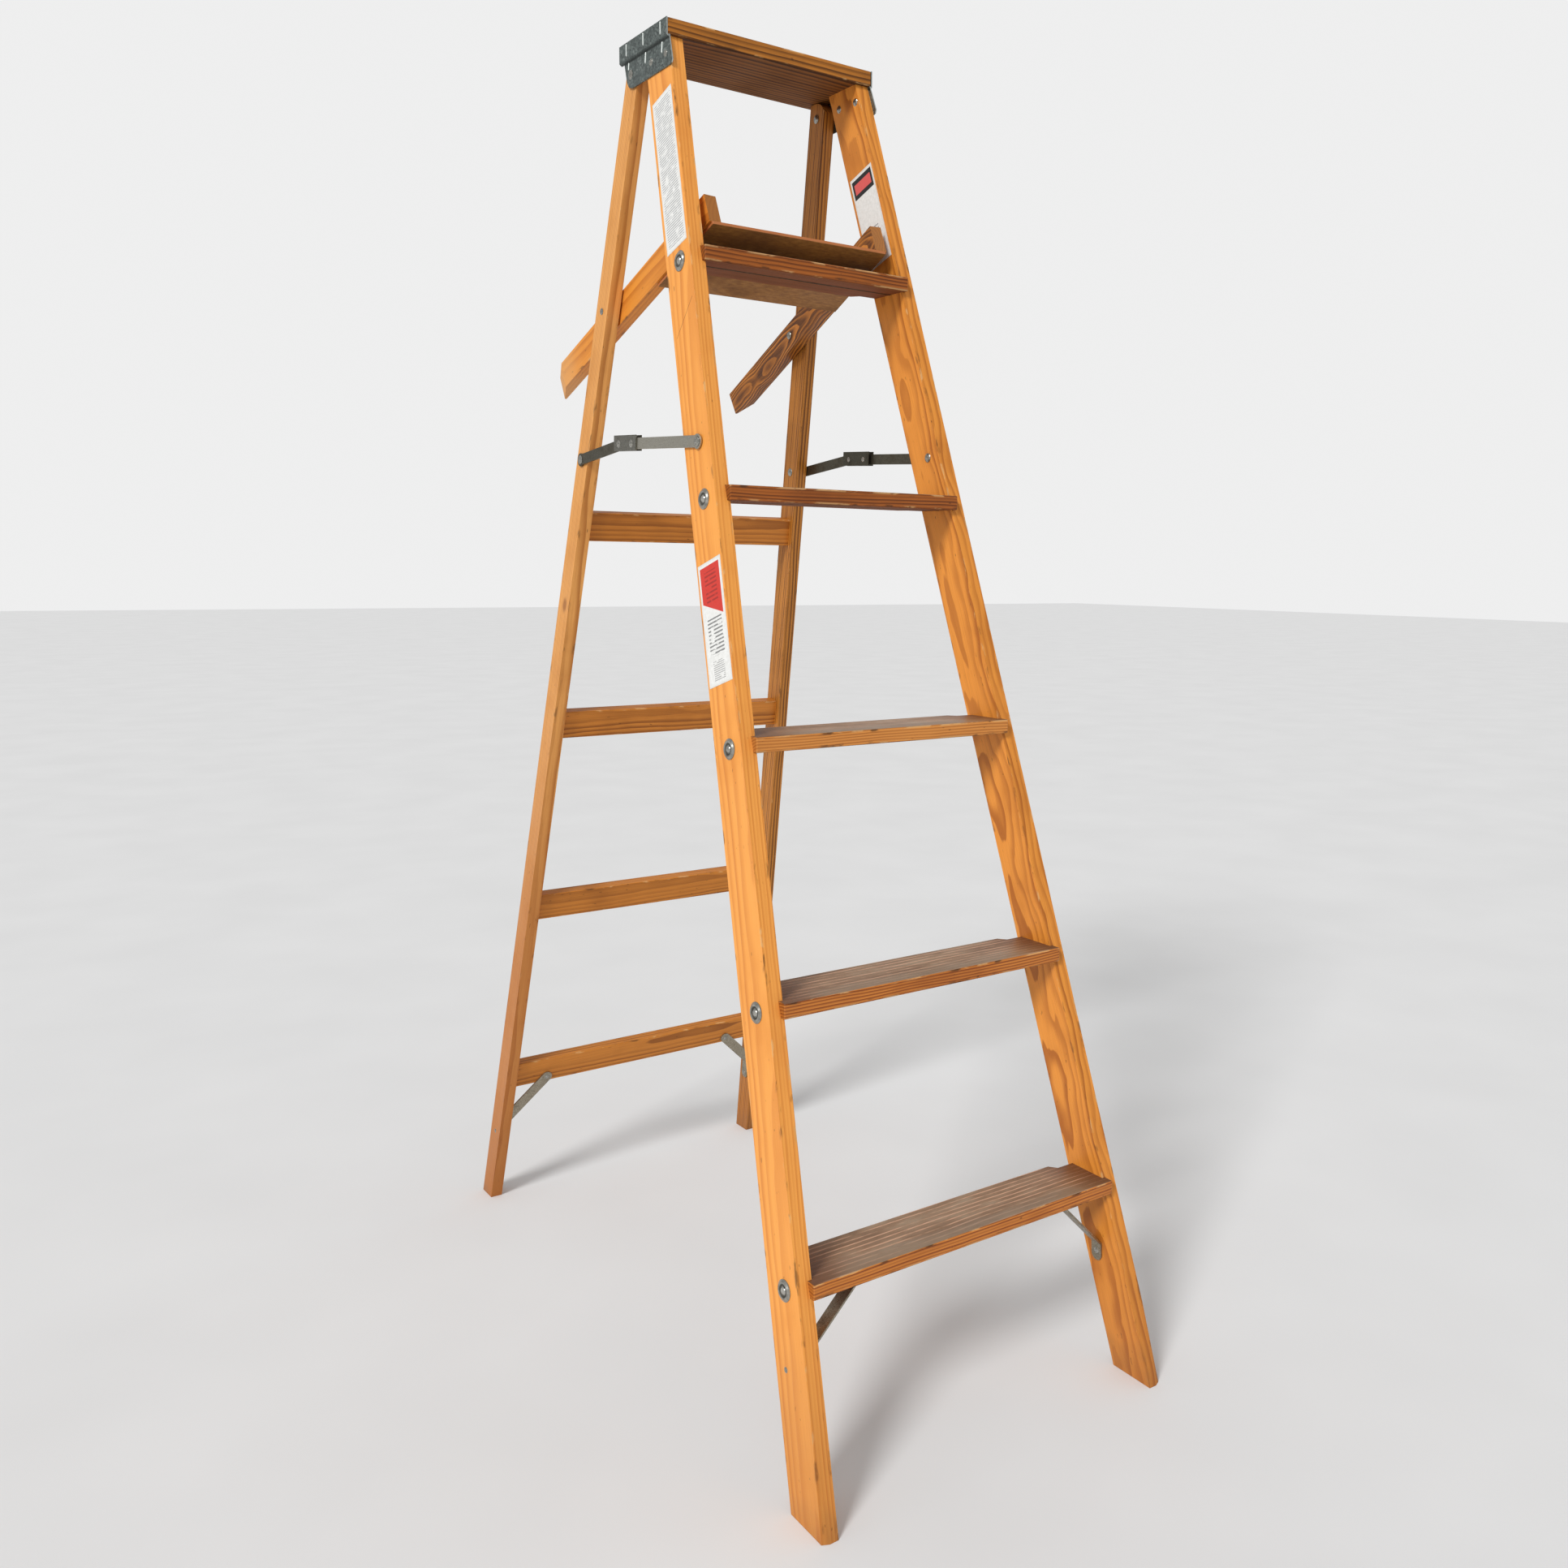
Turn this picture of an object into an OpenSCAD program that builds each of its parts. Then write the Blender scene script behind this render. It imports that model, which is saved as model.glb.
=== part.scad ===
// Wooden folding stepladder: five steps in front, a railed rear frame and a swing-out bucket shelf.
// Millimetres, +Z up, the climber's side faces -Y, X is the symmetry direction.

/* [Overall] */
// Height of the top board's upper face above the floor
ladder_h = 1706; // [1690:1:1720]
// Tilt of the front rails from vertical, seen from the side
front_tilt = 17.4; // [17:0.1:18]
// Tilt of the rear rails from vertical, seen from the side
rear_tilt = 13; // [12.5:0.1:13.5]
// How far the rear frame folds in
fold_angle = 31; // [30:0.5:31]

/* [Front frame] */
// Half the outer width between the front rails at the floor
front_foot_half = 262; // [250:1:270]
// Half the outer width between the front rails under the top board
front_top_half = 152.5; // [150:0.5:154]
// Width of a front rail
front_rail_w = 61; // [55:1:66]
// Thickness of a front rail
front_rail_t = 20; // [18:0.5:22]
// Width of the worn outer corner of each front foot
toe = 8.5; // [4:0.5:12]

/* [Steps] */
// Number of steps
step_count = 5; // [5:1:5]
// Height of the first step's upper face
first_step_z = 258; // [250:1:265]
// Vertical distance between steps
step_pitch = 290.9; // [285:0.1:292]
// Thickness of a step
step_t = 18.5; // [16:0.5:20]
// Depth of a step, front to back
step_depth = 79.5; // [72:0.5:82]
// How far a step stands in front of the rails
step_nose = 12.5; // [6:0.5:14]
// Depth of the slot in each rail that holds a step
dado = 5; // [4:0.5:6]
// Length of the cut-out at each rear corner of a step
notch_len = 34; // [28:1:38]
// Depth of that cut-out
notch_depth = 10.5; // [6:0.5:12]

/* [Truss rods] */
// Radius of the steel rod under each step
rod_r = 2.4; // [2:0.1:3]
// Distance of the rod behind the rails' front edge
rod_set_back = 28; // [24:1:32]
// Radius of the dished washer at each rod end
washer_r = 12.5; // [11:0.5:14]

/* [Top] */
// Thickness of the top board
top_t = 20; // [18:0.5:21]
// Depth of the top board, front to back
top_depth = 132.5; // [128:0.5:136]
// Half the length of the top board
top_half_len = 155.5; // [155:0.5:157]
// Sheet thickness of the two top brackets
bracket_t = 1.6; // [1.2:0.1:2]
// How far the brackets hang below the top board
bracket_drop = 39.5; // [36:0.5:44]
// Distance of the fold rivets behind the front foot
fold_pivot_y = 627; // [624:1:630]
// Distance of the fold rivets below the top board
fold_pivot_drop = 21; // [20:0.5:22]

/* [Rear frame] */
// Half the outer width between the rear rails at the floor
rear_foot_half = 253; // [248:1:256]
// Width of a rear rail
rear_rail_w = 35; // [32:1:38]
// Thickness of a rear rail
rear_rail_t = 18; // [16:0.5:20]
// Number of rear rungs
rung_count = 4; // [4:1:4]
// Height of the lowest rung's centre
first_rung_z = 217; // [210:1:225]
// Height of a rung
rung_h = 41; // [38:1:44]
// Thickness of a rung
rung_t = 18.5; // [16:0.5:20]

/* [Bucket shelf] */
// Height of the shelf's pivot rivets
shelf_z = 1376; // [1373:1:1379]
// Rise of the shelf towards the front, where it rests above the top step
shelf_rise = 23; // [23:0.5:24]
// Length of an arm from the pivot to its front end
arm_front = 250; // [240:1:255]
// Length of an arm from the pivot to its tail
arm_tail = 206; // [195:1:210]
// Thickness of an arm
arm_t = 17; // [15:0.5:18]
// Depth of an arm on the panel's side of the pivot
arm_low = 20; // [18:0.5:21]
// Depth of an arm on the other side of the pivot
arm_high = 17.5; // [16:0.5:19]
// Thickness of the shelf panel
panel_t = 4.5; // [4:0.5:7]
// Distance from the pivot to the panel's near edge
panel_start = 108; // [100:1:115]

/* [Spreaders] */
// Height of the pivots on the front rails
spreader_front_z = 1183; // [1178:1:1188]
// Height of the pivots on the rear rails
spreader_rear_z = 1180; // [1175:1:1185]
// Width of a spreader link
link_w = 14.5; // [13:0.5:16]
// Thickness of a spreader link
link_t = 2.5; // [2:0.1:3]
// Length of the lock plates in the middle
lock_len = 64; // [58:1:68]
// Height of the lock plates
lock_h = 20; // [18:1:22]
// Distance between the two rivets of a lock plate
lock_pitch = 36.5; // [34:0.5:40]

/* [Labels] */
// Thickness of a label
label_t = 0.3; // [0.2:0.1:0.4]

/* [Hidden] */
$fn = 48;

// Radial clearance of a part that turns on a rivet
run_gap = 0.05;
// Gap between parts that move past each other
side_gap = 0.5;
// Gap on each side between the front frame and the rear frame that folds into it
fold_gap = 1;
// Length that a cutting body runs past what it cuts
past = 20;

rail_top = ladder_h - top_t;
front_splay = atan((front_foot_half - front_top_half) / rail_top);
rail_depth = front_rail_w / cos(front_tilt);
rail_x = front_rail_t / cos(front_splay);

fold_z = rail_top - fold_pivot_drop;
rear_pivot_half = front_half(fold_z) - fold_gap;
rear_slope = (rear_foot_half - rear_pivot_half) / fold_z;
rear_splay = atan(rear_slope);
rear_depth = rear_rail_w / cos(rear_tilt);
rear_x = rear_rail_t / cos(rear_splay);

top_front = rail_y(rail_top) - 4.5;
mid_y = (rear_y(0) + rear_depth / 2) / 2;

// Front edge of the front rails, outer faces of both frames and centre line of the rear rails
function rail_y(z) = z * tan(front_tilt);
function front_half(z) = front_foot_half + (front_top_half - front_foot_half) * z / rail_top;
function rear_y(z) = fold_pivot_y + (fold_z - z) * tan(rear_tilt);
function rear_half(z) = rear_pivot_half + (fold_z - z) * rear_slope;
function step_z(k) = first_step_z + (k - 1) * step_pitch;
function rung_z(k) = first_rung_z + (k - 1) * step_pitch;
function rod_z(k) = step_z(k) - step_t + 2;
function rod_y(k) = rail_y(rod_z(k)) + rod_set_back;

wood = "#DE9038";
wood_dark = "#B4702C";
worn = "#9A7353";
zinc = "#8E9090";
galvanised = "#66727A";
paper = "#EFEFEC";

// ---------- placing and outlines ----------

module in_row_frame() { translate([0, -mid_y, 0]) children(); }

module left_side() { mirror([1, 0, 0]) children(); }

module both_sides() {
    children();
    left_side() children();
}

// Extrudes an outline drawn in Y and Z towards +X
module along_x(t) { rotate([90, 0, 90]) linear_extrude(t) children(); }

// Right front rail's own frame: x = 0 is its outer face, z runs up the rail's slope
module front_frame() {
    translate([front_foot_half, 0, 0]) rotate([0, -front_splay, 0]) children();
}
function up_front(z) = z / cos(front_splay);

// Right rear rail's own frame, measured from the fold pivot
module rear_frame() {
    translate([rear_pivot_half, 0, fold_z]) rotate([0, -rear_splay, 0]) children();
}
function up_rear(z) = (z - fold_z) / cos(rear_splay);

module floor_cut() { translate([-500, -500, -100]) cube([1000, 2000, 100]); }

// Cylinder along X between two x values
module x_rod(r, x0, x1, y, z) {
    translate([x0, y, z]) rotate([0, 90, 0]) cylinder(r = r, h = x1 - x0);
}

// Rivet along X with a domed head at each end; the shank runs a little into both heads
module rivet(r, x0, x1, y, z, r_in, h_in, r_out, h_out) {
    bite = 0.5;
    x_rod(r, x0 - bite, x1 + bite, y, z);
    head_in_at(x0, y, z, r_in, h_in);
    head_at(x1, y, z, r_out, h_out);
}

// Low domed head, its seat at the origin and its crown towards +X
module head(r, h) {
    ball = (r * r + h * h) / (2 * h);
    rotate([0, 90, 0]) intersection() {
        translate([0, 0, h - ball]) sphere(ball);
        cylinder(r = r + 1, h = h + 1);
    }
}
module head_at(x, y, z, r, h) { translate([x, y, z]) head(r, h); }
module head_in_at(x, y, z, r, h) { translate([x, y, z]) mirror([1, 0, 0]) head(r, h); }

// Flat bar in Y and Z from a to b with round ends
module bar(a, b, w, ra, rb) {
    d = b - a;
    translate(a) rotate(atan2(d[1], d[0])) {
        translate([0, -w / 2]) square([norm(d), w]);
        circle(r = ra);
        translate([norm(d), 0]) circle(r = rb);
    }
}

// Steel strap in X and Z along a line of points, w wide along Y
module strap(pts, w, t) {
    translate([0, w / 2, 0]) rotate([90, 0, 0]) linear_extrude(w) {
        for (i = [0:len(pts) - 2]) {
            d = pts[i + 1] - pts[i];
            translate(pts[i]) rotate(atan2(d[1], d[0])) {
                translate([0, -t / 2]) square([norm(d), t]);
                circle(r = t / 2);
            }
        }
        translate(pts[len(pts) - 1]) circle(r = t / 2);
    }
}

// ---------- front frame ----------

module step_blank(k) {
    z = step_z(k);
    h = front_half(z - step_t / 2) - rail_x + dado;
    y0 = rail_y(z) - step_nose;
    y1 = y0 + step_depth;
    inner = h - dado - notch_len;
    slant = 8;
    half = [[h, y0], [h, y1 - notch_depth], [inner + slant, y1 - notch_depth], [inner, y1]];
    translate([0, 0, z - step_t]) linear_extrude(step_t)
        polygon(concat(half, [for (i = [3:-1:0]) [-half[i][0], half[i][1]]]));
}

module rod_shank(k, gap = 0) {
    x_end = front_half(rod_z(k)) + 3;
    x_rod(rod_r + gap, -x_end, x_end, rod_y(k), rod_z(k));
}

// Peened end of a truss rod, seated in its dished washer
peen_seat = 1.6;
module rod_peen(k) { head_at(front_half(rod_z(k)) + peen_seat, rod_y(k), rod_z(k), 4.6, 2.4); }

module step(k) {
    color(worn) in_row_frame() difference() {
        step_blank(k);
        rod_shank(k);
        translate([-front_foot_half, rod_y(k) - rod_r, rod_z(k) - past])
            cube([2 * front_foot_half, 2 * rod_r, past]);
    }
}

module truss_rod(k) {
    color(zinc) in_row_frame() {
        rod_shank(k);
        both_sides() rod_peen(k);
    }
}

module washer_ring() {
    r = washer_r;
    rotate([0, 90, 0]) rotate_extrude() polygon([
        [rod_r, 0], [r, 0], [r, 0.8], [r - 1.2, 1.3], [r - 3, 2.8],
        [r - 4.4, 2.6], [r - 6.6, 1.3], [rod_r, 1.3]]);
}

module rod_washers() {
    color(zinc) in_row_frame() both_sides() for (k = [1:step_count]) difference() {
        front_frame() translate([0, rod_y(k), up_front(rod_z(k))]) washer_ring();
        rod_shank(k);
        rod_peen(k);
    }
}

module front_rail_blank() {
    z0 = -past;
    z1 = rail_top + past;
    front_frame() translate([-front_rail_t, 0, 0]) along_x(front_rail_t) polygon([
        [rail_y(z0), up_front(z0)], [rail_y(z0) + rail_depth, up_front(z0)],
        [rail_y(z1) + rail_depth, up_front(z1)], [rail_y(z1), up_front(z1)]]);
}

// Everything on the far side of the plane through a, b and c
module beyond(a, b, c) {
    far = 200;
    u = (b - a) / norm(b - a);
    n = cross(b - a, c - a) / norm(cross(b - a, c - a));
    v = cross(n, u);
    multmatrix([[u[0], v[0], n[0], a[0]], [u[1], v[1], n[1], a[1]], [u[2], v[2], n[2], a[2]], [0, 0, 0, 1]])
        translate([-far, -far, 0]) cube([2 * far, 2 * far, far]);
}

// Wear on the outer corner of the foot, running out up the rail's front arris
toe_len = 100;
module toe_cut() {
    front_frame() beyond([-toe, 0, 0], [0, toe / 2, 0], [0, rail_y(toe_len), up_front(toe_len)]);
}

// Rivets that clamp a bracket to a front rail: distances behind the rail's front edge
bracket_rivet_y = [9, 48];
bracket_rivet_z = fold_z;

module bracket_rivet_shanks() {
    for (dy = bracket_rivet_y) front_frame()
        translate([-front_rail_t - 1, rail_y(bracket_rivet_z) + dy, up_front(bracket_rivet_z)])
            rotate([0, 90, 0]) cylinder(r = 2.5, h = front_rail_t + bracket_t + 2);
}

module bracket_rivets() {
    color(zinc) in_row_frame() both_sides() {
        bracket_rivet_shanks();
        front_frame() for (dy = bracket_rivet_y)
            translate([0, rail_y(bracket_rivet_z) + dy, up_front(bracket_rivet_z)]) {
                head_at(bracket_t, 0, 0, 4.5, 1.8);
                head_in_at(-front_rail_t, 0, 0, 5, 2.2);
            }
    }
}

spreader_front_y = rail_y(spreader_front_z) + rail_depth * 0.4;
spreader_rear_y = rear_y(spreader_rear_z);
pin_r = 3;
fold_pin_r = 4;
shelf_pin_r = 3.5;

step_brace_z = 154.5;
step_brace_y = rail_y(step_brace_z) + 43;

module front_rail() {
    color(wood) in_row_frame() difference() {
        front_rail_blank();
        floor_cut();
        toe_cut();
        translate([0, 0, rail_top]) cube([500, 1000, 100]);
        for (k = [1:step_count]) {
            step_blank(k);
            rod_shank(k, run_gap);
        }
        bracket_rivet_shanks();
        x_rod(pin_r, 0, 400, spreader_front_y, spreader_front_z);
        step_brace_bolt();
    }
}

module front_rail_right() { front_rail(); }
module front_rail_left() { left_side() front_rail(); }

// Diagonal strap from under step 1 to the rail's inner face
strap_w = 17;
strap_t = 2.4;
screw_r = 2.2;
brace_top_x = 157;
brace_tab = 14;
function front_inner(z) = front_half(z) - rail_x;

module step_brace() {
    z_top = step_z(1) - step_t - strap_t / 2;
    z_low = step_brace_z + 10;
    foot = strap_t / 2 + 0.05;
    color(zinc) in_row_frame() translate([0, step_brace_y, 0]) difference() {
        union() {
            strap([[brace_top_x - brace_tab, z_top], [brace_top_x, z_top],
                   [front_inner(z_low) - foot, z_low],
                   [front_inner(step_brace_z - 7) - foot, step_brace_z - 7]], strap_w, strap_t);
            translate([0, -step_brace_y, 0]) front_frame()
                translate([-front_rail_t - strap_t, step_brace_y, up_front(step_brace_z - 5)])
                    rotate([0, 90, 0]) cylinder(r = strap_w / 2, h = strap_t);
        }
        translate([0, -step_brace_y, 0]) {
            step_brace_bolt();
            front_rail_blank();
        }
    }
}
module step_brace_right() { step_brace(); }
module step_brace_left() { left_side() step_brace(); }

module step_brace_bolt() {
    front_frame() translate([-front_rail_t - strap_t - 0.5, step_brace_y, up_front(step_brace_z)])
        rotate([0, 90, 0]) cylinder(r = screw_r, h = front_rail_t + strap_t + 1);
}

module step_brace_screws() {
    z_tab = step_z(1) - step_t - strap_t;
    color(zinc) in_row_frame() both_sides() {
        step_brace_bolt();
        front_frame() translate([0, step_brace_y, up_front(step_brace_z)]) {
            head_at(0, 0, 0, 3.4, 1);
            head_in_at(-front_rail_t - strap_t - 0.1, 0, 0, 4.2, 1.8);
        }
        translate([brace_top_x - brace_tab + 4, step_brace_y, z_tab]) rotate([0, 90, 0])
            head(4, 1.6);
    }
}

module spreader_front_rivets() {
    x_in = front_inner(spreader_front_z) - 0.5;
    x_out = front_link_x + link_t + 0.3;
    color(zinc) in_row_frame() both_sides() {
        rivet(pin_r, x_in, x_out, spreader_front_y, spreader_front_z, 6, 2.4, 6.5, 2.6);
    }
}

// ---------- top ----------

module top_board_blank() {
    translate([-top_half_len, top_front, rail_top]) cube([2 * top_half_len, top_depth, top_t]);
}
module top_board() { color(wood) in_row_frame() top_board_blank(); }

// Lower plate's outline: distances behind the board's front edge and above the plate's lower edge
bracket_outline = [
    [-0.5, bracket_drop], [-12.5, 7], [-11, 3.2], [-7, 1.5],
    [96, 0], [106.5, 3], [113, 10.5], [124.8, bracket_drop]];

module bracket_plate() {
    z0 = rail_top - bracket_drop;
    along_x(bracket_t)
        polygon([for (p = bracket_outline) [top_front + p[0], up_front(z0 + p[1])]]);
}

// Pressed rib on a bracket: a half-round bead with round ends
module rib(y, z0, z1, r) {
    translate([0, y, z0]) {
        cylinder(r = r, h = z1 - z0, $fn = 24);
        sphere(r = r, $fn = 24);
        translate([0, 0, z1 - z0]) sphere(r = r, $fn = 24);
    }
}

rib_r = 1.7;
// Ribs on the upper plate, behind the board's front edge
upper_ribs = [17, 64, 112];
// Ribs on the lower plate: behind the board's front edge, and depth below the board
lower_ribs = [[17, 17.5], [62, 17.5], [110, 13.5]];

module top_bracket() {
    shoulder_h = 3;
    shoulder_z = rail_top - shoulder_h;
    x_up = top_half_len + bracket_t;
    step_out = x_up - front_half(shoulder_z);
    sunk = 0.3;
    color(galvanised) in_row_frame() difference() {
        union() {
            front_frame() bracket_plate();
            translate([top_half_len, top_front, rail_top - 1]) cube([bracket_t, top_depth, top_t + 1]);
            translate([front_half(shoulder_z), top_front + top_depth, shoulder_z]) rotate([90, 0, 0])
                linear_extrude(top_depth) polygon([[0, 0], [bracket_t, 0], [step_out, shoulder_h - 1],
                                                   [step_out, shoulder_h], [0, shoulder_h]]);
            for (y = upper_ribs) translate([x_up - sunk, 0, 0])
                rib(top_front + y, rail_top + 4, ladder_h - 3, rib_r);
            for (p = lower_ribs) front_frame() translate([bracket_t - sunk, 0, 0])
                rib(top_front + p[0], up_front(rail_top - p[1]), up_front(rail_top - 6), rib_r);
        }
        top_board_blank();
        front_frame() translate([-50, 0, 0]) cube([50, 1000, 2000]);
        bracket_rivet_shanks();
        x_rod(fold_pin_r, 0, 400, fold_pivot_y, fold_z);
    }
}
module top_bracket_right() { top_bracket(); }
module top_bracket_left() { left_side() top_bracket(); }

module fold_rivets() {
    x_in = rear_pivot_half - rear_x - 0.8;
    x_out = front_half(fold_z) + bracket_t + 0.4;
    color(zinc) in_row_frame() both_sides() {
        rivet(fold_pin_r, x_in, x_out, fold_pivot_y, fold_z, 6, 2.4, 6, 1.8);
    }
}

// ---------- rear frame ----------

module rung_blank(k) {
    z = rung_z(k);
    w = 2 * (rear_half(z) - rear_x + dado);
    translate([0, rear_y(z), z]) rotate([rear_tilt, 0, 0]) cube([w, rung_t, rung_h], center = true);
}
module rear_rung(k) { color(wood_dark) in_row_frame() rung_blank(k); }

module rear_rail() {
    z0 = -past;
    z1 = rail_top + past;
    d = rear_depth / 2;
    turn_r = fold_pivot_drop - 1;
    color(wood) in_row_frame() difference() {
        rear_frame() translate([-rear_rail_t, 0, 0]) along_x(rear_rail_t) polygon([
            [rear_y(z0) - d, up_rear(z0)], [rear_y(z0) + d, up_rear(z0)],
            [rear_y(z1) + d, up_rear(z1)], [rear_y(z1) - d, up_rear(z1)]]);
        floor_cut();
        translate([0, 0, rail_top - 0.7]) cube([500, 1000, 100]);
        difference() {
            translate([0, fold_pivot_y - 60, fold_z]) cube([500, 60, 60]);
            x_rod(turn_r, -1, 501, fold_pivot_y, fold_z);
        }
        for (k = [1:rung_count]) rung_blank(k);
        x_rod(fold_pin_r + run_gap, 0, 400, fold_pivot_y, fold_z);
        x_rod(pin_r, 0, 400, spreader_rear_y, spreader_rear_z);
        x_rod(shelf_pin_r, 0, 400, rear_y(shelf_z), shelf_z);
        rear_brace_screw_low();
    }
}
module rear_rail_right() { rear_rail(); }
module rear_rail_left() { left_side() rear_rail(); }

rear_brace_z = 117;
rear_brace_x = 168;
rear_brace_up = -12;
rear_brace_bend_z = 147;
function rear_inner(z) = rear_half(z) - rear_x;

// Rung 1's front face: x as given, u up the face from the rung's middle
module on_rung_face(x, u) {
    translate([0, rear_y(rung_z(1)), rung_z(1)]) rotate([rear_tilt, 0, 0])
        translate([x, -rung_t / 2, u]) children();
}
// Rear rail's inner face at height z, facing -X
module on_rear_inner(z) {
    rear_frame() translate([-rear_rail_t, rear_y(z), up_rear(z)]) children();
}

module rear_brace_screw_low() {
    on_rear_inner(rear_brace_z) translate([-strap_t - 0.5, 0, 0]) rotate([0, 90, 0])
        cylinder(r = screw_r, h = rear_rail_t + strap_t + 1);
}

// Strap from the front face of rung 1 to the rail, bent back there and down the rail's inner face
module rear_brace() {
    z_bend = rear_brace_bend_z;
    u_bend = (z_bend - rung_z(1)) / cos(rear_tilt);
    tab_back = rung_t / 2 + strap_t / 2;
    tab_down = (z_bend - rear_brace_z) / cos(rear_tilt);
    color(zinc) in_row_frame() difference() {
        union() {
            on_rung_face(0, 0) rotate([90, 0, 0]) linear_extrude(strap_t)
                bar([rear_brace_x, rear_brace_up], [rear_inner(z_bend) + 2, u_bend],
                    strap_w, strap_w / 2, strap_w / 2);
            on_rear_inner(z_bend) rotate([rear_tilt, 0, 0]) {
                translate([-strap_t, -tab_back, -strap_w / 2])
                    cube([strap_t, tab_back + strap_w / 2, strap_w]);
                translate([-strap_t, -strap_w / 2, -tab_down]) cube([strap_t, strap_w, tab_down]);
            }
            on_rear_inner(rear_brace_z) translate([-strap_t, 0, 0]) rotate([0, 90, 0])
                cylinder(r = strap_w / 2, h = strap_t);
        }
        rear_brace_screw_low();
        on_rear_inner(0) translate([0, -100, -100]) cube([100, 300, 500]);
    }
}
module rear_brace_right() { rear_brace(); }
module rear_brace_left() { left_side() rear_brace(); }

module rear_brace_screws() {
    color(zinc) in_row_frame() both_sides() {
        rear_brace_screw_low();
        on_rear_inner(rear_brace_z) {
            head_in_at(-strap_t, 0, 0, 4, 1.8);
            head_at(rear_rail_t, 0, 0, 3.4, 1);
        }
        on_rung_face(rear_brace_x, rear_brace_up) translate([0, -strap_t, 0])
            rotate([0, 0, -90]) head(4, 1.8);
    }
}

module spreader_rear_rivets() {
    x_in = rear_inner(spreader_rear_z) - 0.5;
    x_out = rear_link_x + link_t + 0.3;
    color(zinc) in_row_frame() both_sides() {
        rivet(pin_r, x_in, x_out, spreader_rear_y, spreader_rear_z, 6, 2.4, 6.5, 2.6);
    }
}

// ---------- bucket shelf ----------

arm_gap = 2;
arm_splay = atan(rear_slope * cos(rear_tilt));
arm_pivot_half = rear_inner(shelf_z) - arm_gap;

// Shelf frame: z runs from the pivot to the front end, -y is the panel's side
module shelf_frame() {
    translate([0, rear_y(shelf_z), shelf_z]) rotate([90 - shelf_rise, 0, 0]) children();
}

module shelf_arm() {
    bevel = 38;
    color(wood) in_row_frame() difference() {
        shelf_frame() translate([arm_pivot_half, 0, 0]) rotate([0, -arm_splay, 0])
            difference() {
                translate([-arm_t, 0, 0]) along_x(arm_t) polygon([
                    [-arm_low, arm_front], [arm_high, arm_front],
                    [arm_high, -arm_tail - 3], [-arm_low, -arm_tail + 3]]);
                translate([0, 50, 0]) rotate([90, 0, 0]) linear_extrude(100) polygon([
                    [1, -arm_tail + bevel + 2], [-arm_t - 1, -arm_tail - 6],
                    [-arm_t - 1, -arm_tail - 50], [1, -arm_tail - 50]]);
            }
        x_rod(shelf_pin_r + run_gap, 0, 400, rear_y(shelf_z), shelf_z);
    }
}
module shelf_arm_right() { shelf_arm(); }
module shelf_arm_left() { left_side() shelf_arm(); }

module shelf_panel() {
    inset = 3;
    w0 = arm_pivot_half - panel_start * tan(arm_splay) - inset;
    w1 = arm_pivot_half - arm_front * tan(arm_splay) - inset;
    color(worn) in_row_frame() shelf_frame() translate([0, -arm_low, 0]) rotate([90, 0, 0])
        linear_extrude(panel_t) polygon([
            [-w0, panel_start], [w0, panel_start], [w1, arm_front + 1], [-w1, arm_front + 1]]);
}

module shelf_rivets() {
    x_in = arm_pivot_half - arm_t - 1.2;
    x_out = rear_half(shelf_z) + 0.6;
    color(zinc) in_row_frame() both_sides() {
        rivet(shelf_pin_r, x_in, x_out, rear_y(shelf_z), shelf_z, 5.5, 2.4, 4.5, 1.4);
    }
}

// ---------- spreaders ----------

front_link_x = front_half(spreader_front_z - 9) + side_gap;
rear_link_x = rear_half(spreader_rear_z - 9) + side_gap - 0.1;
front_pin = [spreader_front_y, spreader_front_z];
rear_pin = [spreader_rear_y, spreader_rear_z];
lock_front = [spreader_front_y + 173.5, spreader_front_z + 8.3];
lock_rise = atan2(8.3, 173.5);
lock_rear = lock_front + lock_pitch * [cos(lock_rise), sin(lock_rise)];

module spreader_front_link() {
    color(zinc) in_row_frame() difference() {
        translate([front_link_x, 0, 0]) along_x(link_t)
            bar(front_pin, lock_front, link_w, link_w / 2 + 1.8, link_w / 2);
        x_rod(pin_r + run_gap, 0, 400, front_pin[0], front_pin[1]);
        x_rod(2.5, 0, 400, lock_front[0], lock_front[1]);
    }
}

module spreader_rear_link() {
    color(zinc) in_row_frame() difference() {
        translate([rear_link_x, 0, 0]) along_x(link_t)
            bar(rear_pin, lock_rear, link_w, link_w / 2 + 1.8, link_w / 2);
        x_rod(pin_r + run_gap, 0, 400, rear_pin[0], rear_pin[1]);
        x_rod(2.5, 0, 400, lock_rear[0], lock_rear[1]);
    }
}

// Lock plate: its upper edge stands higher over the links than its lower edge
module lock_plate_outline() {
    margin = (lock_len - lock_pitch) / 2;
    translate(lock_front) rotate(lock_rise) translate([-margin, -lock_h / 2 + 1])
        square([lock_len, lock_h]);
}

module lock_plate(x, tab_x, tab_t) {
    tab_w = 9;
    color(zinc) in_row_frame() difference() {
        union() {
            translate([x, 0, 0]) along_x(1.8) lock_plate_outline();
            translate([tab_x, 0, 0]) along_x(tab_t) translate(lock_front) rotate(lock_rise)
                translate([(lock_pitch - tab_w) / 2, -lock_h / 2 + 1]) square([tab_w, 1.6]);
        }
        for (p = [lock_front, lock_rear]) x_rod(2.5, 0, 400, p[0], p[1]);
    }
}

module lock_plate_outer() { lock_plate(front_link_x + link_t, front_link_x + 0.3, link_t); }
module lock_plate_inner() { lock_plate(rear_link_x - 1.8, rear_link_x - 1.8, 3.8); }

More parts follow.
